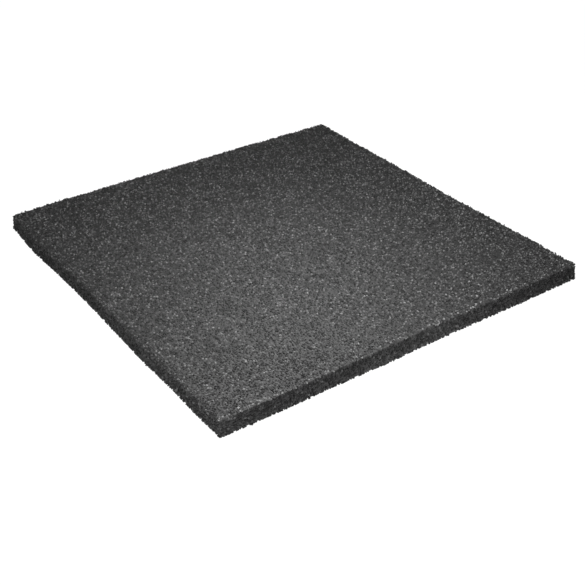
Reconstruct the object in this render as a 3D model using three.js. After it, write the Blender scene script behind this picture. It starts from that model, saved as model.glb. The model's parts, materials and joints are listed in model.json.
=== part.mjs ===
// A square safety mat of bonded rubber crumb, lying flat on the ground.
//
// The mat is pressed in one piece. It is a slab with a flat tread face and a flat underside,
// and four upright sides that butt against the neighbouring mats. Its upright corners are
// rounded in plan, a rounded rim runs round the tread face, and a smaller round, where the
// crumb is loose, runs round the foot.
//
// Millimetres, +Z up. The origin is the centre of the underside.
import * as THREE from "three";

// Outer sizes
const LENGTH = 500; // along X, from side to side
const WIDTH = 500; // along Y, from side to side
const THICKNESS = 20; // from the underside to the tread face

// Rounds
const CORNER_RADIUS = 4; // the upright corners, seen from above
const RIM_RADIUS = 2; // round the tread face
const FOOT_RADIUS = 0.8; // round the underside

// Facets in a quarter turn of each round
const CORNER_STEPS = 8;
const RIM_STEPS = 6;
const FOOT_STEPS = 3;

const QUARTER_TURN = Math.PI / 2;

// The mat's finish: black crumb that shows dark grey, quite matt under its thin binder.
const RUBBER_COLOUR = 0x474747;
const RUBBER_ROUGHNESS = 0.85;

// Angles from 0 to a quarter turn, both ends included.
function quarterAngles(steps) {
  return Array.from({ length: steps + 1 }, (_, i) => (i / steps) * QUARTER_TURN);
}

// The mat's outline seen from above, drawn in by `inset`, anticlockwise from the +X side.
function outlineAt(inset) {
  const radius = Math.max(CORNER_RADIUS - inset, 0);
  const alongX = LENGTH / 2 - inset - radius;
  const alongY = WIDTH / 2 - inset - radius;
  const arcCentres = [
    [alongX, alongY],
    [-alongX, alongY],
    [-alongX, -alongY],
    [alongX, -alongY],
  ];
  return arcCentres.flatMap(([x, y], quadrant) =>
    quarterAngles(CORNER_STEPS).map((angle) => {
      const turn = quadrant * QUARTER_TURN + angle;
      return new THREE.Vector2(x + radius * Math.cos(turn), y + radius * Math.sin(turn));
    }),
  );
}

// The upright section of a side, from the underside to the tread face: how far it is drawn
// in from the mat's widest outline, and at what height.
function sideSection() {
  const foot = quarterAngles(FOOT_STEPS).map((angle) => ({
    inset: FOOT_RADIUS * (1 - Math.sin(angle)),
    height: FOOT_RADIUS * (1 - Math.cos(angle)),
  }));
  const rim = quarterAngles(RIM_STEPS).map((angle) => ({
    inset: RIM_RADIUS * (1 - Math.cos(angle)),
    height: THICKNESS - RIM_RADIUS * (1 - Math.sin(angle)),
  }));
  return [...foot, ...rim];
}

// The closed surface of the slab: one ring of points for each step of the side section,
// joined by quads, with a flat cap on the lowest ring and on the highest.
function slabGeometry() {
  const rings = sideSection().map(({ inset, height }) =>
    outlineAt(inset).map(({ x, y }) => new THREE.Vector3(x, y, height)),
  );
  const points = rings.flat();
  const around = rings[0].length;
  const last = rings.length - 1;
  const triangles = [];

  for (let ring = 0; ring < last; ring += 1) {
    for (let i = 0; i < around; i += 1) {
      const next = (i + 1) % around;
      const [lower, lowerNext] = [ring * around + i, ring * around + next];
      const [upper, upperNext] = [lower + around, lowerNext + around];
      triangles.push([lower, lowerNext, upperNext], [lower, upperNext, upper]);
    }
  }

  const cap = THREE.ShapeUtils.triangulateShape(outlineAt(0), []);
  for (const [a, b, c] of cap) {
    triangles.push([c, b, a]);
    triangles.push([a, b, c].map((i) => i + last * around));
  }

  const geometry = new THREE.BufferGeometry().setFromPoints(points);
  geometry.setIndex(triangles.flat());
  geometry.computeVertexNormals();
  return geometry;
}

function rubberMat() {
  const finish = new THREE.MeshStandardMaterial({
    color: RUBBER_COLOUR,
    roughness: RUBBER_ROUGHNESS,
    metalness: 0,
    flatShading: true,
  });
  const mat = new THREE.Mesh(slabGeometry(), finish);
  mat.name = "rubber_mat";
  return mat;
}

const part = new THREE.Group();
part.add(rubberMat());

export default part;
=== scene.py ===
"""A square safety mat of bonded rubber crumb, dressed and lit for its picture.

The mat is pressed in one piece. What shows of it is made of two kinds of piece:

- the bed, which is the mat's own body drawn in a little, and shows only between the grains
- the crumb, which is angular grains of rubber set into the bed by Geometry Nodes: in strips
  over the tread face, and in one layer each on the rim, the sides, the foot, the underside and
  the underside's edge, with a few loose grains along the foot

Metres, +Z up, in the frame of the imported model.
"""
import json
import logging
import math
import random
from collections.abc import Iterable
from dataclasses import dataclass
from enum import Enum
from typing import Any

import bmesh
import bpy
from bpy.types import ID, Collection, ColorRamp, Material, Mesh, Node, NodeSocket, NodeTree, Object
from mathutils import Matrix, Vector

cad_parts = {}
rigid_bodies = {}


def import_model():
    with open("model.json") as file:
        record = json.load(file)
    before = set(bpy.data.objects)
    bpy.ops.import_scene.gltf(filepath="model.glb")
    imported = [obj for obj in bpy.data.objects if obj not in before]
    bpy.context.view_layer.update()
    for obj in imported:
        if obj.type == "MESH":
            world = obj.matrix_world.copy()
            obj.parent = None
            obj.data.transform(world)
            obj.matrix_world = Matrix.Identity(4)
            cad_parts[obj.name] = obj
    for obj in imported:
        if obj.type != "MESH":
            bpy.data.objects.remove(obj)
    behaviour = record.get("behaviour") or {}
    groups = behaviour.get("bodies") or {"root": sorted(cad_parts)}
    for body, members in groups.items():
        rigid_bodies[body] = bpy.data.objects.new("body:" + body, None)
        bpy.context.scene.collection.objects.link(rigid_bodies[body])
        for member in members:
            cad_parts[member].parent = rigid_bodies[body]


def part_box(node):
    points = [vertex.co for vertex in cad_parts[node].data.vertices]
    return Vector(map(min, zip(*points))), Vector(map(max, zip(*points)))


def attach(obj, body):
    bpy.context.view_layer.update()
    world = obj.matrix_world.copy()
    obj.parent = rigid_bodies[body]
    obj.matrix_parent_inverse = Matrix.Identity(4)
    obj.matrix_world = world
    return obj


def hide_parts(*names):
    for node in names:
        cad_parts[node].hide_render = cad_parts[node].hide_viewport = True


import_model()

MM = 0.001

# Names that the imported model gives
MAT_NODE = "rubber_mat"
MAT_BODY = "root"

# Names that the pieces' meshes and materials share
GRAIN_TONE = "grain_tone"
GRAIN_NUMBER = "grain_number"
BAKE_MAP = "OFBake"

# The sRGB curve: a straight foot, and above it a power of the shifted value
SRGB_FOOT = 0.04045
SRGB_FOOT_SLOPE = 12.92
SRGB_SHIFT = 0.055
SRGB_POWER = 2.4

QUARTER_TURN = math.pi / 2
WHITE = 0xFFFFFF

log = logging.getLogger("safety_mat")


def linear(srgb_hex: int) -> tuple[float, float, float, float]:
    """Turns an sRGB colour to the linear values that Blender's sockets take.

    Args:
        srgb_hex: the colour, such as 0x474747.

    Returns:
        Red, green, blue and an alpha of 1.
    """
    channels = [(srgb_hex >> shift & 0xFF) / 255 for shift in (16, 8, 0)]
    red, green, blue = (
        c / SRGB_FOOT_SLOPE
        if c <= SRGB_FOOT
        else ((c + SRGB_SHIFT) / (1 + SRGB_SHIFT)) ** SRGB_POWER
        for c in channels
    )
    return red, green, blue, 1.0


def named_socket(sockets: Any, key: str | int) -> NodeSocket:
    """Finds one of a node's sockets.

    Args:
        sockets: the node's inputs or outputs.
        key: the socket's number, or the name of the first one in use that is so called.

    Returns:
        The socket.
    """
    if isinstance(key, int):
        return sockets[key]
    return next(s for s in sockets if s.name == key and s.enabled)


def feed(node: Node, inputs: dict[str | int, Any]) -> None:
    """Gives a node's inputs their values and links.

    Args:
        node: the node.
        inputs: for each input, by name or number, the socket that feeds it or its value.
    """
    for key, value in inputs.items():
        socket = named_socket(node.inputs, key)
        if isinstance(value, NodeSocket):
            node.id_data.links.new(value, socket)
        else:
            socket.default_value = value


def add_node(
    tree: NodeTree,
    kind: str,
    inputs: dict[str | int, Any] | None = None,
    output: str | int = 0,
    **settings: Any,
) -> NodeSocket:
    """Adds a node with its settings, values and links.

    Args:
        tree: the tree that gets the node.
        kind: the node's type, such as ShaderNodeTexNoise.
        inputs: for each input, by name or number, the socket that feeds it or its value.
        output: the output that is wanted, by name or number.
        **settings: the node's own properties.

    Returns:
        The output, whose node is its .node.
    """
    node = tree.nodes.new(kind)
    for name, value in settings.items():
        setattr(node, name, value)
    feed(node, inputs or {})
    return named_socket(node.outputs, output)


def add_noise(tree: NodeTree, size: float, detail: float) -> NodeSocket:
    """Adds a noise whose lumps lie about that size apart, and returns its value."""
    place = add_node(tree, "ShaderNodeTexCoord", output="Object")
    return add_node(
        tree,
        "ShaderNodeTexNoise",
        {"Vector": place, "Scale": 1 / size, "Detail": detail},
        output="Fac",
    )


def add_bump(tree: NodeTree, height: NodeSocket, strength: float, size: float) -> NodeSocket:
    """Adds a bump of that greatest size, and returns the normal that it gives."""
    settings = {"Height": height, "Strength": strength, "Distance": size}
    return add_node(tree, "ShaderNodeBump", settings)


def add_range(
    tree: NodeTree, value: NodeSocket, old: tuple[Any, Any], new: tuple[Any, Any]
) -> NodeSocket:
    """Adds a node that brings a value from the old range to the new, and returns it."""
    limits = {"From Min": old[0], "From Max": old[1], "To Min": new[0], "To Max": new[1]}
    return add_node(tree, "ShaderNodeMapRange", {"Value": value, **limits})


def new_material(name: str) -> tuple[Material, Node]:
    """Makes a material.

    Args:
        name: its name.

    Returns:
        The material and its shader.
    """
    material = bpy.data.materials.new(name)
    material.use_nodes = True
    return material, material.node_tree.nodes["Principled BSDF"]


def add_object(name: str, data: ID) -> Object:
    """Makes an object and adds it to the scene.

    Args:
        name: its name.
        data: its mesh, light or camera.

    Returns:
        The object, at the origin.
    """
    thing = bpy.data.objects.new(name, data)
    bpy.context.scene.collection.objects.link(thing)
    return thing


class Side(Enum):
    """An upright side of the mat, by the way it faces: x and y of its outward normal."""

    MINUS_X = (-1, 0)
    PLUS_X = (1, 0)
    MINUS_Y = (0, -1)
    PLUS_Y = (0, 1)


class Region(Enum):
    """Part of the mat's surface, by how much its faces look up: from -1, down, to 1, up."""

    TREAD = (0.99, 1.1)
    RIM = (0.5, 0.99)
    SIDES = (-0.12, 0.5)
    FOOT = (-0.99, -0.12)
    UNDERSIDE = (-1.1, -0.99)


class Draw(Enum):
    """What the crumb's tree draws at random for each grain, by the seed of that draw."""

    TONE = 1
    HEIGHT = 2
    RADIUS = 3
    STRETCH = 4
    TURN = 5
    SHAPE = 6
    TEAR = 7


@dataclass(frozen=True)
class EdgeWave:
    """A place where a side of the flexible mat bulges or draws in. Its sizes are in millimetres.

    Attributes:
        side: the side that it is on.
        along: its middle, along the side from the side's own middle, towards +X or +Y.
        reach: how far from the middle it has fallen to about a third.
        rim_rise: how far the rim stands out there, or draws in where it is negative.
        foot_rise: the same for the foot; most of it is in the side's lower half.
    """

    side: Side
    along: float
    reach: float
    rim_rise: float
    foot_rise: float

    def rise_at(self, point: Vector, outward: Vector, level: float) -> float:
        """Gives the wave's share in how far a point of the outline stands out.

        Args:
            point: the point, seen from above.
            outward: the outline's outward direction there.
            level: how high up the side it is, from 0 at the foot to 1 at the rim.

        Returns:
            The distance outwards, in metres.
        """
        facing = max(outward.dot(Vector(self.side.value)), 0.0)
        along = point.y if self.side.value[0] else point.x
        rim, foot = self.rim_rise * MM, self.foot_rise * MM
        rise = rim + (foot - rim) * (1 - level) ** 2
        return facing * rise * math.exp(-(((along - self.along * MM) / (self.reach * MM)) ** 2))


@dataclass(frozen=True)
class BinderAndPaintedShade:
    """Polyurethane binder over the crumb deep between the grains, as it cured in the press.

    It is nearly black and a little glossy, darker than the grains: partly the binder's own tone
    and partly painted shade, so the pits between the grains read as dark specks.

    Attributes:
        name: the material's name.
        colour: where the film is thick.
        thin_colour: where it is thin and the crumb shows through.
        roughness: of its surface.
        refraction: its index of refraction, as of cast polyurethane.
        mottle_size: how far its lumps lie apart.
        mottle_detail: how many finer levels the lumps have.
        lump_height: how high they stand.
        lump_strength: how much of that the bump shows.
    """

    name: str = "cured_binder_on_crumb"
    # Darker than the grains: partly the binder's own tone, partly painted shade in the pits
    colour: int = 0x1C1C1C
    thin_colour: int = 0x262626
    roughness: float = 0.6
    refraction: float = 1.5
    mottle_size: float = 1.5 * MM
    mottle_detail: float = 3.0
    lump_height: float = 0.4 * MM
    lump_strength: float = 0.8

    def material(self) -> Material:
        """Builds the material.

        Returns:
            The material.
        """
        material, shader = new_material(self.name)
        tree = material.node_tree
        mottle = add_noise(tree, self.mottle_size, self.mottle_detail)
        colour = add_node(
            tree,
            "ShaderNodeMix",
            {"Factor": mottle, "A": linear(self.colour), "B": linear(self.thin_colour)},
            output="Result",
            data_type="RGBA",
        )
        bump = add_bump(tree, mottle, self.lump_strength, self.lump_height)
        feed(
            shader,
            {
                "Base Color": colour,
                "Roughness": self.roughness,
                "IOR": self.refraction,
                "Normal": bump,
            },
        )
        return material


@dataclass(frozen=True)
class GroundTyreRubber:
    """Ground tyre rubber, torn to angular grains and held in a thin film of binder.

    Each grain has a tone of its own, from nearly black to dark grey, and a few freshly torn
    or dusty ones are pale specks. The torn faces are matt, and the binder leaves some of
    them with a soft shine.

    Attributes:
        name: the material's name.
        darkest: the tone of the darkest grains.
        middling: the tone that half of the grains are darker than.
        palest: the tone of the palest grains that aren't specks.
        speck: the tone of the palest specks.
        speck_share: half the share of the grains that are specks.
        mottle_size: how far the tread's paler and darker patches lie apart.
        mottle_depth: how much paler or darker they are, as a share.
        mottle_noise: the noise's values where a patch is darkest and palest.
        tear_size: how far the tears on a torn face lie apart.
        tear_noise: the noise's values where a face is smoothest and roughest.
        tear_depth: how deep the tears are.
        tear_strength: how much of that the bump shows.
        detail: how many finer levels the patches and the tears have.
        least_roughness: where binder is left on a grain.
        most_roughness: where it is torn.
        refraction: its index of refraction, as of black rubber.
        shine: its specular level; below 0.5 the surface reflects less than a clean one.
    """

    name: str
    darkest: int = 0x141414
    middling: int = 0x303030
    palest: int = 0x5B5B5B
    speck: int = 0x7A7A7A
    speck_share: float = 0.03
    mottle_size: float = 25 * MM
    mottle_depth: float = 0.12
    mottle_noise: tuple[float, float] = (0.3, 0.7)
    tear_size: float = 0.5 * MM
    tear_noise: tuple[float, float] = (0.35, 0.65)
    tear_depth: float = 0.15 * MM
    tear_strength: float = 0.5
    detail: float = 2.0
    least_roughness: float = 0.5
    most_roughness: float = 0.9
    refraction: float = 1.52
    shine: float = 0.5

    def material(self) -> Material:
        """Builds the material.

        Returns:
            The material.
        """
        material, shader = new_material(self.name)
        tree = material.node_tree
        tone = add_node(tree, "ShaderNodeAttribute", output="Fac", attribute_name=GRAIN_TONE)
        ramp = add_node(tree, "ShaderNodeValToRGB", {"Fac": tone})
        self._fill(ramp.node.color_ramp)

        # Patches of the tread differ a little, as the crumb was spread by hand
        patches = add_noise(tree, self.mottle_size, self.detail)
        dimmest, brightest = 1 - self.mottle_depth, 1 + self.mottle_depth
        patch_light = add_range(tree, patches, self.mottle_noise, (dimmest, brightest))
        colour = add_node(
            tree, "ShaderNodeVectorMath", {0: ramp, "Scale": patch_light}, operation="SCALE"
        )

        # The torn faces: rough at the scale of a grain's own tears
        tears = add_noise(tree, self.tear_size, self.detail)
        rough_range = (self.least_roughness, self.most_roughness)
        roughness = add_range(tree, tears, self.tear_noise, rough_range)
        bump = add_bump(tree, tears, self.tear_strength, self.tear_depth)
        feed(
            shader,
            {
                "Base Color": colour,
                "Roughness": roughness,
                "IOR": self.refraction,
                "Specular IOR Level": self.shine,
                "Normal": bump,
            },
        )
        return material

    def _fill(self, ramp: ColorRamp) -> None:
        """Sets the ramp's stops, from the darkest grains to the pale specks.

        Args:
            ramp: the ramp, with its first two stops.
        """
        dark, pale = ramp.elements
        dark.position, dark.color = 0.0, linear(self.darkest)
        pale.position, pale.color = 1.0, linear(self.speck)
        ramp.elements.new(0.5).color = linear(self.middling)
        ramp.elements.new(1 - 2 * self.speck_share).color = linear(self.palest)


@dataclass(frozen=True)
class WhiteAcrylic:
    """Opal acrylic lit from below, as on a table for product pictures: it shows evenly white.

    Attributes:
        name: the material's name.
        colour: the sheet's own tone, dark so that the mat casts no shadow on it.
        light_colour: the light's that comes through it.
        glow: how bright that light is, where 1 shows as full white.
        roughness: of its surface.
    """

    name: str = "opal_acrylic"
    colour: int = 0x404040
    light_colour: int = WHITE
    glow: float = 0.99
    roughness: float = 0.9

    def material(self) -> Material:
        """Builds the material.

        Returns:
            The material.
        """
        material, shader = new_material(self.name)
        feed(
            shader,
            {
                "Base Color": linear(self.colour),
                "Roughness": self.roughness,
                "Emission Color": linear(self.light_colour),
                "Emission Strength": self.glow,
            },
        )
        return material


class Rubber(Enum):
    """Where a layer's rubber is, which gives its tones.

    The tread's grains run from nearly black to pale. The sides' grains are a darker, more even
    copy of the same rubber that hardly shines: painted shade on the sides and the underside.
    """

    TREAD = GroundTyreRubber("scuffed_tyre_rubber_tread")
    # A darker copy of the tread's rubber: painted shade on the sides and the underside
    SIDES = GroundTyreRubber(
        "pressed_tyre_rubber_sides",
        darkest=0x202020,
        middling=0x303030,
        palest=0x424242,
        speck=0x585858,
        shine=0.08,
    )


@dataclass(frozen=True)
class BedRing:
    """One level of the bed's surface.

    Attributes:
        height: above the ground.
        inset: how far the ring is drawn in from the mat's sides.
        worn_height: the height on the worn side.
        worn_inset: the inset on the worn side.
    """

    height: float
    inset: float
    worn_height: float
    worn_inset: float


@dataclass(frozen=True)
class MatBed:
    """The mat's body, drawn in by the crumb's cover so that it shows only between the grains.

    Attributes:
        length: along X, from side to side of the whole mat.
        width: along Y, from side to side of the whole mat.
        thickness: from the underside to the tread face of the whole mat.
        corner_radius: of the mat's upright corners, seen from above.
        least_corner: the least radius that a corner of the bed keeps.
        rim_width: how far in from the sides the tread face starts to round off.
        worn_rim_width: the same on the worn side.
        worn_side: the side whose rim is worn rounder than the others.
        rim_drop: how far down the sides that round reaches.
        worn_rim_drop: the same on the worn side.
        foot_radius: of the round along the underside.
        cover: how deep the bed lies under the mat's own faces.
        step: the space between points along a straight side.
        side_steps: the facets of a side between its rounds, from foot to rim.
        corner_steps: the facets of a corner.
        round_steps: the facets of the rim's round and of the foot's.
        waves: where the sides bulge or draw in.
    """

    length: float
    width: float
    thickness: float
    corner_radius: float = 3 * MM
    least_corner: float = 0.6 * MM
    rim_width: float = 1.6 * MM
    worn_rim_width: float = 8.5 * MM
    worn_side: Side = Side.MINUS_X
    rim_drop: float = 1.6 * MM
    worn_rim_drop: float = 2.8 * MM
    foot_radius: float = 1.8 * MM
    cover: float = 1.0 * MM
    step: float = 5 * MM
    side_steps: int = 5
    corner_steps: int = 8
    round_steps: int = 6
    waves: tuple[EdgeWave, ...] = (
        EdgeWave(Side.MINUS_Y, 0, 500, -0.2, 3.6),
        EdgeWave(Side.MINUS_X, 0, 500, 0.0, 1.4),
        EdgeWave(Side.PLUS_Y, 0, 500, 1.6, 1.4),
        EdgeWave(Side.PLUS_X, 0, 500, 1.4, 1.3),
        EdgeWave(Side.MINUS_Y, -170, 60, 0.7, 0.2),
        EdgeWave(Side.MINUS_Y, -120, 20, 0.0, -0.7),
        EdgeWave(Side.MINUS_Y, -40, 20, 0.0, 1.0),
        EdgeWave(Side.MINUS_Y, 40, 35, -1.2, -0.4),
        EdgeWave(Side.MINUS_Y, 180, 70, 0.7, 1.0),
        EdgeWave(Side.MINUS_Y, 230, 22, 0.3, 1.1),
        EdgeWave(Side.MINUS_X, -205, 30, 0.3, 0.6),
        EdgeWave(Side.MINUS_X, -100, 35, 0.3, 1.2),
        EdgeWave(Side.MINUS_X, 40, 60, -1.8, -1.0),
        EdgeWave(Side.MINUS_X, 175, 36, 1.8, 2.0),
        EdgeWave(Side.MINUS_X, 250, 30, -2.0, -1.2),
        EdgeWave(Side.PLUS_Y, -250, 12, -3.0, -1.5),
        EdgeWave(Side.PLUS_Y, -235, 40, -3.0, -1.5),
        EdgeWave(Side.PLUS_Y, -135, 28, -1.8, -1.0),
        EdgeWave(Side.PLUS_Y, 95, 30, 1.2, 1.0),
        EdgeWave(Side.PLUS_X, -20, 55, -1.8, -1.1),
        EdgeWave(Side.PLUS_X, -180, 20, 1.2, 0.6),
        EdgeWave(Side.PLUS_X, -250, 8, 1.4, 2.2),
        EdgeWave(Side.PLUS_X, 235, 30, 1.0, 0.6),
    )

    def _corner_arcs(self, ring: BedRing) -> list[list[tuple[Vector, Vector]]]:
        """Rounds the four corners of one level, anticlockwise from the +X +Y one.

        Args:
            ring: the level.

        Returns:
            For each corner, its points, each with the outline's outward direction there.
        """
        radius = max(self.corner_radius - ring.inset, self.least_corner)
        reach = {}
        for side in Side:
            half = (self.length if side.value[0] else self.width) / 2
            inset = ring.worn_inset if side is self.worn_side else ring.inset
            reach[side] = half - inset - radius
        right, left = reach[Side.PLUS_X], -reach[Side.MINUS_X]
        back, front = reach[Side.PLUS_Y], -reach[Side.MINUS_Y]
        centres = [(right, back), (left, back), (left, front), (right, front)]
        arcs = []
        for quadrant, centre in enumerate(centres):
            arc = []
            for i in range(self.corner_steps + 1):
                turn = (quadrant + i / self.corner_steps) * QUARTER_TURN
                outward = Vector((math.cos(turn), math.sin(turn)))
                arc.append((Vector(centre) + radius * outward, outward))
            arcs.append(arc)
        return arcs

    def outline(self, ring: BedRing) -> list[Vector]:
        """Walks round the bed at one level, anticlockwise from the +X side.

        Args:
            ring: the level.

        Returns:
            The points, in the same number and order for every level.
        """
        arcs = self._corner_arcs(ring)
        straights = [round(self.length / self.step), round(self.width / self.step)]
        walk = []
        for quadrant, arc in enumerate(arcs):
            walk += arc
            start, outward = arc[-1]
            end = arcs[(quadrant + 1) % len(arcs)][0][0]
            pieces = straights[quadrant % 2]
            walk += [(start.lerp(end, i / pieces), outward) for i in range(1, pieces)]
        points = []
        for point, outward in walk:
            worn = max(outward.dot(Vector(self.worn_side.value)), 0.0) ** 2
            height = ring.height + (ring.worn_height - ring.height) * worn
            level = height / self.thickness
            moved = point + outward * sum(w.rise_at(point, outward, level) for w in self.waves)
            points.append(Vector((moved.x, moved.y, height)))
        return points

    def rings(self) -> list[BedRing]:
        """Lays out the levels of the bed's surface.

        Returns:
            The levels, from the underside to the tread face.
        """
        foot = self.foot_radius - self.cover
        drop, worn_drop = self.rim_drop - self.cover, self.worn_rim_drop - self.cover
        rim, worn_rim = self.rim_width - self.cover, self.worn_rim_width - self.cover
        top = self.thickness - self.cover
        least, most = self.foot_radius, self.thickness - self.worn_rim_drop
        rings = []
        for i in range(self.round_steps + 1):
            turn = i / self.round_steps * QUARTER_TURN
            inset = self.cover + foot * (1 - math.sin(turn))
            height = self.cover + foot * (1 - math.cos(turn))
            rings.append(BedRing(height, inset, height, inset))
        for i in range(1, self.side_steps):
            height = least + (most - least) * i / self.side_steps
            rings.append(BedRing(height, self.cover, height, self.cover))
        for i in range(self.round_steps + 1):
            turn = i / self.round_steps * QUARTER_TURN
            inward, downward = 1 - math.cos(turn), 1 - math.sin(turn)
            rings.append(
                BedRing(
                    top - drop * downward,
                    self.cover + rim * inward,
                    top - worn_drop * downward,
                    self.cover + worn_rim * inward,
                )
            )
        return rings

    def build(self, material: Material) -> Object:
        """Builds the bed as one closed mesh.

        Args:
            material: its finish.

        Returns:
            The object, at the origin.
        """
        mesh = bpy.data.meshes.new("mat_bed")
        form = bmesh.new()
        rings = [
            [form.verts.new(point) for point in self.outline(ring)]
            for ring in self.rings()
        ]
        around = len(rings[0])
        for lower, upper in zip(rings, rings[1:]):
            for i in range(around):
                j = (i + 1) % around
                form.faces.new((lower[i], lower[j], upper[j], upper[i]))
        form.faces.new(rings[-1])
        form.faces.new(reversed(rings[0]))
        bmesh.ops.triangulate(form, faces=form.faces[:])
        form.to_mesh(mesh)
        form.free()
        mesh.materials.append(material)
        return add_object("mat_bed", mesh)


@dataclass(frozen=True)
class GrainShapes:
    """The shapes that the crumb's grains are drawn from.

    Each is a closed angular chip: a small upper ring, a wider lower ring turned by half a
    step, and a flat end. A shape has a radius of about 1 and a depth of 1, with its top at
    height 0, and the tree that sets it gives it its size.

    Attributes:
        name: the name of the collection that holds them.
        upper_radius: the least and greatest distance of an upper corner from the middle.
        count: how many shapes there are.
        corners: how many corners each ring has.
        seed: what their random draws start from.
        lower_radius: the same as upper_radius, for the lower ring.
        upper_drop: how far down an upper corner is at most.
        lower_drop: how far down a lower corner is, at least and at most.
        angle_scatter: how far round a corner is from its even place, at most, in radians.
        upper_map_radius: of the upper ring, on the grain's own square of the bake map.
        lower_map_radius: of the lower ring there.
        map_place: the middle of both rings there.
        end_map_place: the middle of the flat end there.
        end_map_radius: of the flat end there.
    """

    name: str
    upper_radius: tuple[float, float]
    count: int = 16
    corners: int = 5
    seed: int = 23
    lower_radius: tuple[float, float] = (0.85, 1.2)
    upper_drop: float = 0.22
    lower_drop: tuple[float, float] = (0.7, 1.0)
    angle_scatter: float = 0.22
    upper_map_radius: float = 0.31
    lower_map_radius: float = 0.48
    map_place: tuple[float, float] = (0.5, 0.5)
    end_map_place: tuple[float, float] = (0.08, 0.08)
    end_map_radius: float = 0.07

    def build(self) -> Collection:
        """Builds the shapes.

        Returns:
            The collection that holds them.
        """
        chance = random.Random(self.seed)
        shapes = bpy.data.collections.new(self.name)
        for number in range(self.count):
            mesh = bpy.data.meshes.new(f"{self.name}_{number:02d}")
            self._chip(chance, mesh)
            shapes.objects.link(bpy.data.objects.new(mesh.name, mesh))
        return shapes

    def _chip(self, chance: random.Random, mesh: Mesh) -> None:
        """Fills a mesh with one chip and lays it out on its square of the bake map.

        Args:
            chance: the source of the chip's irregularity.
            mesh: the empty mesh.
        """
        form = bmesh.new()
        bake_map = form.loops.layers.uv.new(BAKE_MAP)
        upper, lower, map_angle = [], [], {}
        for i in range(self.corners):
            for ring, shift in ((upper, 0.0), (lower, 0.5)):
                even = (i + shift) / self.corners * math.tau
                turn = even + chance.uniform(-1, 1) * self.angle_scatter
                if ring is upper:
                    radius = chance.uniform(*self.upper_radius)
                    height = -chance.uniform(0, self.upper_drop)
                else:
                    radius = chance.uniform(*self.lower_radius)
                    height = -chance.uniform(*self.lower_drop)
                point = (radius * math.cos(turn), radius * math.sin(turn), height)
                ring.append(form.verts.new(point))
                map_angle[ring[-1]] = even
        for i in range(self.corners):
            j = (i + 1) % self.corners
            form.faces.new((upper[i], lower[i], upper[j]))
            form.faces.new((lower[i], lower[j], upper[j]))
        form.faces.new(upper)
        end = form.faces.new(reversed(lower))
        for face in form.faces:
            middle = self.end_map_place if face is end else self.map_place
            for corner in face.loops:
                if face is end:
                    radius = self.end_map_radius
                elif corner.vert in upper:
                    radius = self.upper_map_radius
                else:
                    radius = self.lower_map_radius
                angle = map_angle[corner.vert]
                corner[bake_map].uv = (
                    middle[0] + radius * math.cos(angle),
                    middle[1] + radius * math.sin(angle),
                )
        bmesh.ops.triangulate(form, faces=form.faces[:])
        form.to_mesh(mesh)
        form.free()


class Grains(Enum):
    """How worn a layer's grains are: loose ones come to a point, pressed ones stay blunt."""

    LOOSE = GrainShapes("loose_grain", upper_radius=(0.3, 0.6))
    PRESSED = GrainShapes("pressed_grain", upper_radius=(0.6, 0.95))


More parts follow.
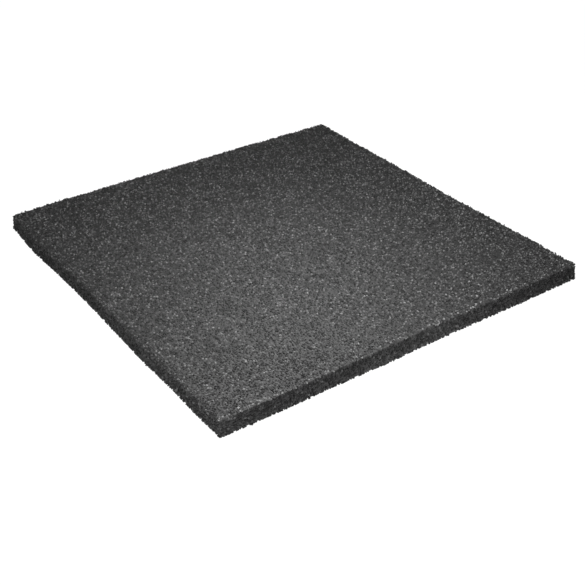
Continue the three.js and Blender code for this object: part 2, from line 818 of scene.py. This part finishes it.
class CrumbTree:
    """The Geometry Nodes tree that sets grains into a surface.

    It scatters points over the faces that look the wanted way, no two nearer than the
    spacing, and keeps those in the wanted strip and off the wanted middle. It puts a grain on
    each, with its top at the mat's own face, turned at random, and gives every grain its tone
    and its square of the bake map.

    Attributes:
        tree: the node tree.
        given: its inputs, as the outputs of its group input node.
    """

    INPUTS = {
        "NodeSocketGeometry": ("Bed",),
        "NodeSocketFloat": (
            "Up From", "Up To", "Strip From", "Strip To", "Front", "Back", "Middle Length",
            "Middle Width", "Spacing", "Tries", "Least Radius", "Most Radius", "Longest", "Depth",
            "Cover", "Unevenness", "Tilt", "Tear", "Scuff", "Scuff From", "Scuff To", "Lowest",
            "Highest",
        ),
        "NodeSocketInt": ("Seed",),
        "NodeSocketVector": ("Scuffed Side",),
        "NodeSocketCollection": ("Grains",),
        "NodeSocketMaterial": ("Rubber",),
    }

    # A shape's number may be any whole number, because it wraps round
    MANY = 1000

    # The least and greatest vector of a random draw
    EACH_WAY = ((-1, -1, -1), (1, 1, 1))

    def __init__(self) -> None:
        """Builds the tree."""
        self.tree = bpy.data.node_groups.new("crumb", "GeometryNodeTree")
        sockets = self.tree.interface
        for kind, names in self.INPUTS.items():
            for name in names:
                sockets.new_socket(name, in_out="INPUT", socket_type=kind)
        sockets.new_socket("Crumb", in_out="OUTPUT", socket_type="NodeSocketGeometry")
        self.given = self.tree.nodes.new("NodeGroupInput").outputs
        spread = self._spread()
        points = self._points(spread, spread.node.outputs["Normal"])
        grains = self._grains(points, spread.node.outputs["Rotation"])
        crumb = self._finish(self._torn(grains), self._count(points))
        feed(self.tree.nodes.new("NodeGroupOutput"), {"Crumb": crumb})

    def identifier(self, name: str) -> str:
        """Gives the identifier by which a modifier holds the input of that name."""
        return self.tree.interface.items_tree[name].identifier

    def _add(
        self,
        kind: str,
        inputs: dict[str | int, Any] | None = None,
        output: str | int = 0,
        **settings: Any,
    ) -> NodeSocket:
        """Adds a node to the tree, from what add_node takes, and returns its output."""
        return add_node(self.tree, kind, inputs, output, **settings)

    def _math(self, operation: str, *values: Any) -> NodeSocket:
        """Reckons with numbers, and returns the result."""
        return self._add("ShaderNodeMath", dict(enumerate(values)), operation=operation)

    def _vectors(self, operation: str, *values: Any) -> NodeSocket:
        """Reckons with vectors, and returns the vector that results."""
        return self._add("ShaderNodeVectorMath", dict(enumerate(values)), operation=operation)

    def _scaled(self, vector: NodeSocket, factor: Any) -> NodeSocket:
        """Makes a vector longer or shorter by a factor, and returns it."""
        values = {0: vector, "Scale": factor}
        return self._add("ShaderNodeVectorMath", values, operation="SCALE")

    def _place(self) -> Any:
        """Returns the outputs X, Y and Z that say where a point or corner is."""
        place = self._add("GeometryNodeInputPosition")
        return self._add("ShaderNodeSeparateXYZ", {0: place}).node.outputs

    def _compare(self, operation: str, value: Any, limit: str) -> NodeSocket:
        """Compares a value with the input that is called limit, and returns the answer."""
        pair = {"A": value, "B": self.given[limit]}
        return self._add("FunctionNodeCompare", pair, operation=operation)

    def _join(self, operation: str, one: Any, other: Any) -> NodeSocket:
        """Joins two answers to one by AND or OR, and returns it."""
        return self._add("FunctionNodeBooleanMath", {0: one, 1: other}, operation=operation)

    def _between(self, value: NodeSocket, low: str, high: str) -> NodeSocket:
        """Tests that a value is at least the input called low, and below that called high."""
        above = self._compare("GREATER_EQUAL", value, low)
        return self._join("AND", above, self._compare("LESS_THAN", value, high))

    def _beyond(self, value: NodeSocket, limit: str) -> NodeSocket:
        """Tests that a value lies at least as far from 0, either way, as an input."""
        return self._compare("GREATER_EQUAL", self._math("ABSOLUTE", value), limit)

    def _chance(self, kind: str, low: Any, high: Any, draw: Draw) -> NodeSocket:
        """Gives each grain a random value of its own.

        Args:
            kind: FLOAT, INT or FLOAT_VECTOR.
            low: the least value, or the output that gives it.
            high: the greatest value, or the output that gives it.
            draw: what is drawn.

        Returns:
            The output that holds the value.
        """
        limits = {"Min": low, "Max": high, "Seed": draw.value}
        return self._add("FunctionNodeRandomValue", limits, output="Value", data_type=kind)

    def _store(
        self, geometry: NodeSocket, name: str, value: Any, kind: str, domain: str
    ) -> NodeSocket:
        """Stores a value as an attribute.

        Args:
            geometry: what gets it.
            name: the attribute's name.
            value: the output that gives the value.
            kind: its data type, such as INT.
            domain: POINT or CORNER.

        Returns:
            The geometry with the attribute.
        """
        return self._add(
            "GeometryNodeStoreNamedAttribute",
            {"Geometry": geometry, "Name": name, "Value": value},
            data_type=kind,
            domain=domain,
        )

    def _stored(self, name: str, kind: str) -> NodeSocket:
        """Returns the output that holds the attribute of that name and data type."""
        return self._add(
            "GeometryNodeInputNamedAttribute", {"Name": name}, output="Attribute", data_type=kind
        )

    def _spread(self) -> NodeSocket:
        """Scatters points over the faces that look the wanted way.

        Returns:
            The points.
        """
        normal = self._add("GeometryNodeInputNormal")
        up = self._add("ShaderNodeSeparateXYZ", {0: normal}, output="Z")
        return self._add(
            "GeometryNodeDistributePointsOnFaces",
            {
                "Mesh": self.given["Bed"],
                "Selection": self._between(up, "Up From", "Up To"),
                "Distance Min": self.given["Spacing"],
                "Density Max": self.given["Tries"],
                "Seed": self.given["Seed"],
            },
            distribute_method="POISSON",
        )

    def _points(
        self, spread: NodeSocket, normal: NodeSocket
    ) -> NodeSocket:
        """Keeps the wanted points, gives them their facts and moves them to the mat's face.

        Args:
            spread: the scattered points.
            normal: the way that the bed faces at each.

        Returns:
            The points that get a grain.
        """
        place = self._place()
        in_strip = self._join(
            "AND",
            self._between(place["X"], "Strip From", "Strip To"),
            self._between(place["Y"], "Front", "Back"),
        )
        off_middle = self._join(
            "OR",
            self._beyond(place["X"], "Middle Length"),
            self._beyond(place["Y"], "Middle Width"),
        )
        kept = self._add(
            "GeometryNodeSeparateGeometry",
            {"Geometry": spread, "Selection": self._join("AND", in_strip, off_middle)},
            output="Selection",
            domain="POINT",
        )
        number = self._add("GeometryNodeInputIndex")
        numbered = self._store(kept, GRAIN_NUMBER, number, "INT", "POINT")
        toned = self._store(numbered, GRAIN_TONE, self._tone(), "FLOAT", "POINT")
        jitter = self._chance("FLOAT", -1.0, 1.0, Draw.HEIGHT)
        height = self._math("MULTIPLY_ADD", jitter, self.given["Unevenness"], self.given["Cover"])
        outwards = self._scaled(normal, height)
        return self._add("GeometryNodeSetPosition", {"Geometry": toned, "Offset": outwards})

    def _tone(self) -> NodeSocket:
        """Gives each grain its tone: a random one, made paler near one side's rim as a painted
        highlight.

        Returns:
            The output that holds the tone.
        """
        place = self._add("GeometryNodeInputPosition")
        # Painted highlight: grains within a few millimetres of that side's rim get a paler tone
        reach = self._vectors("DOT_PRODUCT", place, self.given["Scuffed Side"])
        band = (self.given["Scuff From"], self.given["Scuff To"])
        painted_highlight_share = add_range(
            self.tree, reach.node.outputs["Value"], band, (0.0, self.given["Scuff"])
        )
        return self._math("ADD", self._chance("FLOAT", 0.0, 1.0, Draw.TONE), painted_highlight_share)

    def _grains(
        self, points: NodeSocket, facing: NodeSocket
    ) -> NodeSocket:
        """Puts a grain on each point.

        Args:
            points: the points.
            facing: the turn that stands a grain upright on the bed at each.

        Returns:
            The grains, as a plain mesh.
        """
        given = self.given
        shapes = self._add(
            "GeometryNodeCollectionInfo",
            {"Collection": given["Grains"], "Separate Children": True, "Reset Children": True},
        )
        radius = self._chance("FLOAT", given["Least Radius"], given["Most Radius"], Draw.RADIUS)
        stretch = self._chance("FLOAT", 1.0, given["Longest"], Draw.STRETCH)
        size = self._add(
            "ShaderNodeCombineXYZ",
            {
                "X": self._math("MULTIPLY", radius, stretch),
                "Y": self._math("DIVIDE", radius, stretch),
                "Z": given["Depth"],
            },
        )
        lean = self._add(
            "ShaderNodeCombineXYZ", {"X": given["Tilt"], "Y": given["Tilt"], "Z": math.pi}
        )
        way = self._chance("FLOAT_VECTOR", *self.EACH_WAY, Draw.TURN)
        own_turn = self._add("FunctionNodeEulerToRotation", {0: self._vectors("MULTIPLY", way, lean)})
        rotation = self._add(
            "FunctionNodeRotateRotation",
            {"Rotation": facing, "Rotate By": own_turn},
            rotation_space="LOCAL",
        )
        instances = self._add(
            "GeometryNodeInstanceOnPoints",
            {
                "Points": points,
                "Instance": shapes,
                "Pick Instance": True,
                "Instance Index": self._chance("INT", 0, self.MANY, Draw.SHAPE),
                "Rotation": rotation,
                "Scale": size,
            },
        )
        return self._add("GeometryNodeRealizeInstances", {"Geometry": instances})

    def _count(self, points: NodeSocket) -> NodeSocket:
        """Counts the points, and returns the output that says how many."""
        return self._add(
            "GeometryNodeAttributeDomainSize",
            {"Geometry": points},
            output="Point Count",
            component="POINTCLOUD",
        )

    def _torn(self, grains: NodeSocket) -> NodeSocket:
        """Tears the grains' corners out of place, and keeps them off the ground.

        Args:
            grains: the grains, as a plain mesh.

        Returns:
            The torn grains.
        """
        way = self._chance("FLOAT_VECTOR", *self.EACH_WAY, Draw.TEAR)
        shift = self._scaled(way, self.given["Tear"])
        moved = self._add("GeometryNodeSetPosition", {"Geometry": grains, "Offset": shift})
        place = self._place()
        limits = {"Min": self.given["Lowest"], "Max": self.given["Highest"]}
        height = self._add("ShaderNodeClamp", {"Value": place["Z"], **limits})
        held = self._add("ShaderNodeCombineXYZ", {"X": place["X"], "Y": place["Y"], "Z": height})
        return self._add("GeometryNodeSetPosition", {"Geometry": moved, "Position": held})

    def _finish(
        self, grains: NodeSocket, count: NodeSocket
    ) -> NodeSocket:
        """Lays out the bake map, a square of squares with one for each grain, and the rubber.

        Args:
            grains: the torn grains.
            count: how many there are.

        Returns:
            The finished crumb.
        """
        squares = self._math("CEIL", self._math("SQRT", count))
        number = self._stored(GRAIN_NUMBER, "INT")
        column = self._math("MODULO", number, squares)
        row = self._math("FLOOR", self._math("DIVIDE", number, squares))
        square = self._add("ShaderNodeCombineXYZ", {"X": column, "Y": row})
        placed = self._vectors("ADD", self._stored(BAKE_MAP, "FLOAT_VECTOR"), square)
        scaled = self._scaled(placed, self._math("DIVIDE", 1.0, squares))
        mapped = self._store(grains, BAKE_MAP, scaled, "FLOAT2", "CORNER")
        plain = self._add("GeometryNodeRemoveAttribute", {"Geometry": mapped, "Name": GRAIN_NUMBER})
        finish = {"Geometry": plain, "Material": self.given["Rubber"]}
        return self._add("GeometryNodeSetMaterial", finish)


@dataclass(frozen=True)
class CrumbLayer:
    """Crumb over one part of the mat's surface.

    Attributes:
        name: the name of its pieces.
        region: the part of the surface.
        seed: what its random draws start from.
        strips: how many pieces it is cut into, side by side along X.
        margin: how far in from the mat's sides its grains start; below 0 none are left out.
        band: how far in from the mat's sides its grains end, or None where they fill the face.
        spacing: the least space between the middles of two grains.
        least_radius: of the smallest grains.
        most_radius: of the largest grains.
        longest: how much longer the longest grain is than a round one of its size.
        depth: from a grain's top to its end in the bed.
        stand_out: how far the grains' tops stand beyond the mat's own faces.
        unevenness: how far a grain's top stands above or below the rest.
        tilt: how far a grain leans, in radians.
        tear: how far a corner is torn out of place.
        painted_highlight: how much paler, as a share of the range of tones, a painted highlight makes
            the grains along an edge.
        painted_highlight_side: the side whose edge gets the painted highlight.
        painted_highlight_band: how far in from that side the painted highlight starts and is
            complete.
        clamp: the lowest and the highest that any corner may be.
        tries: how many points a square metre is tried with, before those too near are dropped.
        grains: the shapes of its grains.
        rubber: their finish.
    """

    name: str
    region: Region
    seed: int
    strips: int = 1
    margin: float = -20 * MM
    band: float | None = None
    spacing: float = 2.05 * MM
    least_radius: float = 0.95 * MM
    most_radius: float = 1.6 * MM
    longest: float = 1.3
    depth: float = 1.8 * MM
    stand_out: float = 0.3 * MM
    unevenness: float = 0.7 * MM
    tilt: float = math.radians(28)
    tear: float = 0.12 * MM
    # Painted highlight: how much paler the grains near one side's rim are made, and where
    painted_highlight: float = 0.0
    painted_highlight_side: Side = Side.MINUS_Y
    painted_highlight_band: tuple[float, float] = (8 * MM, 4 * MM)
    clamp: tuple[float, float] = (0.05 * MM, 20.6 * MM)
    tries: float = 1_500_000.0
    grains: Grains = Grains.PRESSED
    rubber: Rubber = Rubber.SIDES

    def build(
        self,
        bed: MatBed,
        body: Object,
        tree: CrumbTree,
        shapes: dict[Grains, Collection],
        rubbers: dict[Rubber, Material],
    ) -> list[Object]:
        """Builds the layer's pieces.

        Args:
            bed: what the grains are set into.
            body: the object that the bed was built as.
            tree: the tree that sets them.
            shapes: the shapes of each kind of grain.
            rubbers: the material of each kind of rubber.

        Returns:
            One object for each strip, at the origin, each with a plain mesh.
        """
        reach, depth = bed.length / 2 - self.margin, bed.width / 2 - self.margin
        edges = [-reach + 2 * reach * i / self.strips for i in range(self.strips + 1)]
        up_from, up_to = self.region.value
        highlight_way = self.painted_highlight_side.value
        half = (bed.length if highlight_way[0] else bed.width) / 2
        middle = [
            0.0 if self.band is None else size / 2 - self.band for size in (bed.length, bed.width)
        ]
        pieces = []
        for number in range(self.strips):
            settings = {
                "Up From": up_from,
                "Up To": up_to,
                "Strip From": edges[number],
                "Strip To": edges[number + 1],
                "Front": -depth,
                "Back": depth,
                "Middle Length": middle[0],
                "Middle Width": middle[1],
                "Spacing": self.spacing,
                "Tries": self.tries,
                "Seed": self.seed,
                "Least Radius": self.least_radius,
                "Most Radius": self.most_radius,
                "Longest": self.longest,
                "Depth": self.depth,
                "Cover": bed.cover + self.stand_out,
                "Unevenness": self.unevenness,
                "Tilt": self.tilt,
                "Tear": self.tear,
                "Scuff": self.painted_highlight,
                "Scuffed Side": (*highlight_way, 0.0),
                "Scuff From": half - self.painted_highlight_band[0],
                "Scuff To": half - self.painted_highlight_band[1],
                "Lowest": self.clamp[0],
                "Highest": self.clamp[1],
                "Grains": shapes[self.grains],
                "Rubber": rubbers[self.rubber],
            }
            name = f"{self.name}_{number + 1}" if self.strips > 1 else self.name
            pieces.append(self._piece(name, body, tree, settings))
        return pieces

    def _piece(
        self, name: str, body: Object, tree: CrumbTree, settings: dict[str, Any]
    ) -> Object:
        """Runs the tree on a copy of the bed, and keeps what it makes as a plain mesh.

        Args:
            name: the piece's name.
            body: the bed's object.
            tree: the tree that sets the grains.
            settings: the tree's inputs, by name.

        Returns:
            The piece.
        """
        carrier = add_object(f"{name}_carrier", body.data)
        modifier = carrier.modifiers.new("crumb", "NODES")
        modifier.node_group = tree.tree
        for key, value in settings.items():
            modifier[tree.identifier(key)] = value
        bpy.context.view_layer.update()
        graph = bpy.context.evaluated_depsgraph_get()
        mesh = bpy.data.meshes.new_from_object(carrier.evaluated_get(graph))
        mesh.name = name
        carrier.modifiers.remove(modifier)
        bpy.data.objects.remove(carrier)
        return add_object(name, mesh)


@dataclass(frozen=True)
class SafetyMat:
    """The whole mat: its bed and the crumb on every face.

    Attributes:
        length: along X, from side to side.
        width: along Y, from side to side.
        thickness: from the underside to the tread face.
        layers: the crumb on each part of the surface.
    """

    length: float
    width: float
    thickness: float
    layers: tuple[CrumbLayer, ...] = (
        CrumbLayer(
            "tread_crumb",
            Region.TREAD,
            seed=3,
            strips=4,
            # A painted highlight makes the tread's grains along the -Y rim paler
            painted_highlight=0.15,
            grains=Grains.LOOSE,
            rubber=Rubber.TREAD,
        ),
        CrumbLayer(
            "rim_crumb",
            Region.RIM,
            seed=7,
            spacing=1.5 * MM,
            least_radius=0.7 * MM,
            most_radius=1.1 * MM,
            stand_out=0.6 * MM,
            unevenness=0.45 * MM,
            # A painted highlight makes the rim's grains along the -Y side paler
            painted_highlight=0.2,
            grains=Grains.LOOSE,
            rubber=Rubber.TREAD,
        ),
        CrumbLayer(
            "side_crumb",
            Region.SIDES,
            seed=5,
            least_radius=1.0 * MM,
            most_radius=1.7 * MM,
            stand_out=0.2 * MM,
            unevenness=0.25 * MM,
            tilt=math.radians(10),
        ),
        CrumbLayer(
            "foot_crumb",
            Region.FOOT,
            seed=8,
            spacing=1.1 * MM,
            least_radius=1.1 * MM,
            most_radius=1.5 * MM,
            longest=1.1,
            depth=2.0 * MM,
            stand_out=0.2 * MM,
            unevenness=0.2 * MM,
            tilt=math.radians(8),
            tear=0.06 * MM,
        ),
        CrumbLayer(
            "loose_crumb",
            Region.FOOT,
            seed=21,
            spacing=9 * MM,
            least_radius=1.1 * MM,
            most_radius=1.9 * MM,
            depth=3.0 * MM,
            stand_out=1.2 * MM,
            unevenness=0.5 * MM,
        ),
        CrumbLayer(
            "underside_edge_crumb",
            Region.UNDERSIDE,
            seed=17,
            band=6.5 * MM,
            spacing=1.5 * MM,
            least_radius=0.8 * MM,
            most_radius=1.2 * MM,
            longest=1.1,
            unevenness=0.4 * MM,
            tilt=math.radians(10),
        ),
        CrumbLayer(
            "underside_crumb",
            Region.UNDERSIDE,
            seed=13,
            margin=5 * MM,
            spacing=4.4 * MM,
            least_radius=2.0 * MM,
            most_radius=3.4 * MM,
        ),
    )

    def build(self) -> list[Object]:
        """Builds and dresses the mat.

        Returns:
            Its pieces, the bed first.
        """
        bed = MatBed(self.length, self.width, self.thickness)
        body = bed.build(BinderAndPaintedShade().material())
        rubbers = {kind: kind.value.material() for kind in Rubber}
        shapes = {kind: kind.value.build() for kind in Grains}
        tree = CrumbTree()
        pieces = [body]
        for layer in self.layers:
            pieces += layer.build(bed, body, tree, shapes, rubbers)
        for collection in shapes.values():
            for shape in list(collection.objects):
                bpy.data.objects.remove(shape)
            bpy.data.collections.remove(collection)
        return pieces


@dataclass(frozen=True)
class SoftLight:
    """A square soft box.

    Attributes:
        name: its name.
        place: where it stands.
        aim: the point that it faces.
        size: the length of its side.
        power: in watts.
        spread: the angle that its light fans out to; a honeycomb grid narrows it.
    """

    name: str
    place: tuple[float, float, float]
    aim: tuple[float, float, float]
    size: float
    power: float
    spread: float = math.pi

    def build(self) -> None:
        """Hangs the light, out of the camera's own sight."""
        lamp = bpy.data.lights.new(self.name, "AREA")
        lamp.shape = "SQUARE"
        lamp.size = self.size
        lamp.energy = self.power
        lamp.spread = self.spread
        holder = add_object(self.name, lamp)
        holder.location = self.place
        away = Vector(self.aim) - Vector(self.place)
        holder.rotation_euler = away.to_track_quat("-Z", "Y").to_euler()
        holder.visible_camera = False


@dataclass(frozen=True)
class PictureCamera:
    """The photograph's camera.

    Attributes:
        place: where it stands.
        yaw: how far it looks from +Y towards +X, in radians.
        pitch: how far it looks down, in radians.
        roll: how far it is turned about its own line of sight, in radians.
        focal_pixels: its focal length, in pixels of the picture.
        picture_pixels: the width and height of the picture, in pixels.
        sensor_mm: the width of its sensor, in millimetres.
    """

    place: tuple[float, float, float] = (-0.6339, -0.8945, 0.6504)
    yaw: float = 0.6289
    pitch: float = 0.5747
    roll: float = 0.0089
    focal_pixels: float = 1022.73
    picture_pixels: int = 585
    sensor_mm: float = 36.0

    def build(self) -> None:
        """Makes the camera and gives it to the scene."""
        camera = bpy.data.cameras.new("picture_camera")
        camera.sensor_width = self.sensor_mm
        camera.lens = self.focal_pixels * self.sensor_mm / self.picture_pixels
        ahead = Vector(
            (
                math.sin(self.yaw) * math.cos(self.pitch),
                math.cos(self.yaw) * math.cos(self.pitch),
                -math.sin(self.pitch),
            )
        )
        level_right = Vector((math.cos(self.yaw), -math.sin(self.yaw), 0.0))
        level_up = level_right.cross(ahead)
        right = level_right * math.cos(self.roll) + level_up * math.sin(self.roll)
        up = level_up * math.cos(self.roll) - level_right * math.sin(self.roll)
        turn = Matrix((right, up, -ahead)).transposed().to_4x4()
        holder = add_object("picture_camera", camera)
        holder.matrix_world = Matrix.Translation(self.place) @ turn
        bpy.context.scene.camera = holder


@dataclass(frozen=True)
class Studio:
    """The white table that the mat lies on, and its soft light.

    Attributes:
        floor_size: the length of the table's side.
        room_light: how bright the white room is.
        lights: the lights that hang over the mat.
    """

    floor_size: float = 16.0
    room_light: float = 0.2
    lights: tuple[SoftLight, ...] = (
        SoftLight(
            name="overhead_light",
            place=(-0.04, -0.14, 0.7),
            aim=(-0.04, -0.14, 0.0),
            size=0.35,
            power=3.55,
            spread=math.radians(110),
        ),
        SoftLight(
            name="front_light",
            place=(0.05, -0.6, 0.1),
            aim=(0.0, -0.25, 0.0),
            size=0.12,
            power=0.21,
            spread=math.radians(90),
        ),
        SoftLight(
            name="corner_light",
            place=(-0.55, -0.5, 0.1),
            aim=(-0.25, -0.15, 0.0),
            size=0.12,
            power=0.28,
            spread=math.radians(70),
        ),
        SoftLight(
            name="gridded_light",
            place=(0.25, 0.3, 0.55),
            aim=(-0.15, -0.22, 0.0),
            size=0.15,
            power=0.195,
            spread=math.radians(50),
        ),
    )

    def build(self) -> None:
        """Lays the table, hangs the lights and lights the room."""
        mesh = bpy.data.meshes.new("table")
        half = self.floor_size / 2
        corners = [(-half, -half, 0), (half, -half, 0), (half, half, 0), (-half, half, 0)]
        mesh.from_pydata(corners, [], [(0, 1, 2, 3)])
        mesh.materials.append(WhiteAcrylic().material())
        table = add_object("table", mesh)
        for light in self.lights:
            light.build()
        world = bpy.data.worlds.new("room")
        world.use_nodes = True
        background = world.node_tree.nodes["Background"]
        feed(background, {"Color": linear(WHITE), "Strength": self.room_light})
        scene = bpy.context.scene
        scene.world = world
        scene.view_settings.view_transform = "Standard"


def report(pieces: Iterable[Object]) -> None:
    """Logs each piece with its number of triangles.

    Args:
        pieces: the mat's pieces.
    """
    total = 0
    for piece in pieces:
        triangles = sum(len(face.vertices) - 2 for face in piece.data.polygons)
        total += triangles
        log.info("%s: %d triangles", piece.name, triangles)
    log.info("in all: %d triangles", total)


def main() -> None:
    """Builds the mat and its studio, and reports each piece."""
    logging.basicConfig(level=logging.INFO, format="%(message)s")
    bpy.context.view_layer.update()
    PictureCamera().build()
    Studio().build()
    low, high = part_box(MAT_NODE)
    pieces = SafetyMat(*(high - low)).build()
    for piece in pieces:
        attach(piece, MAT_BODY)
        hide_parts(MAT_NODE)
    report(pieces)


if __name__ == "__main__":
    main()
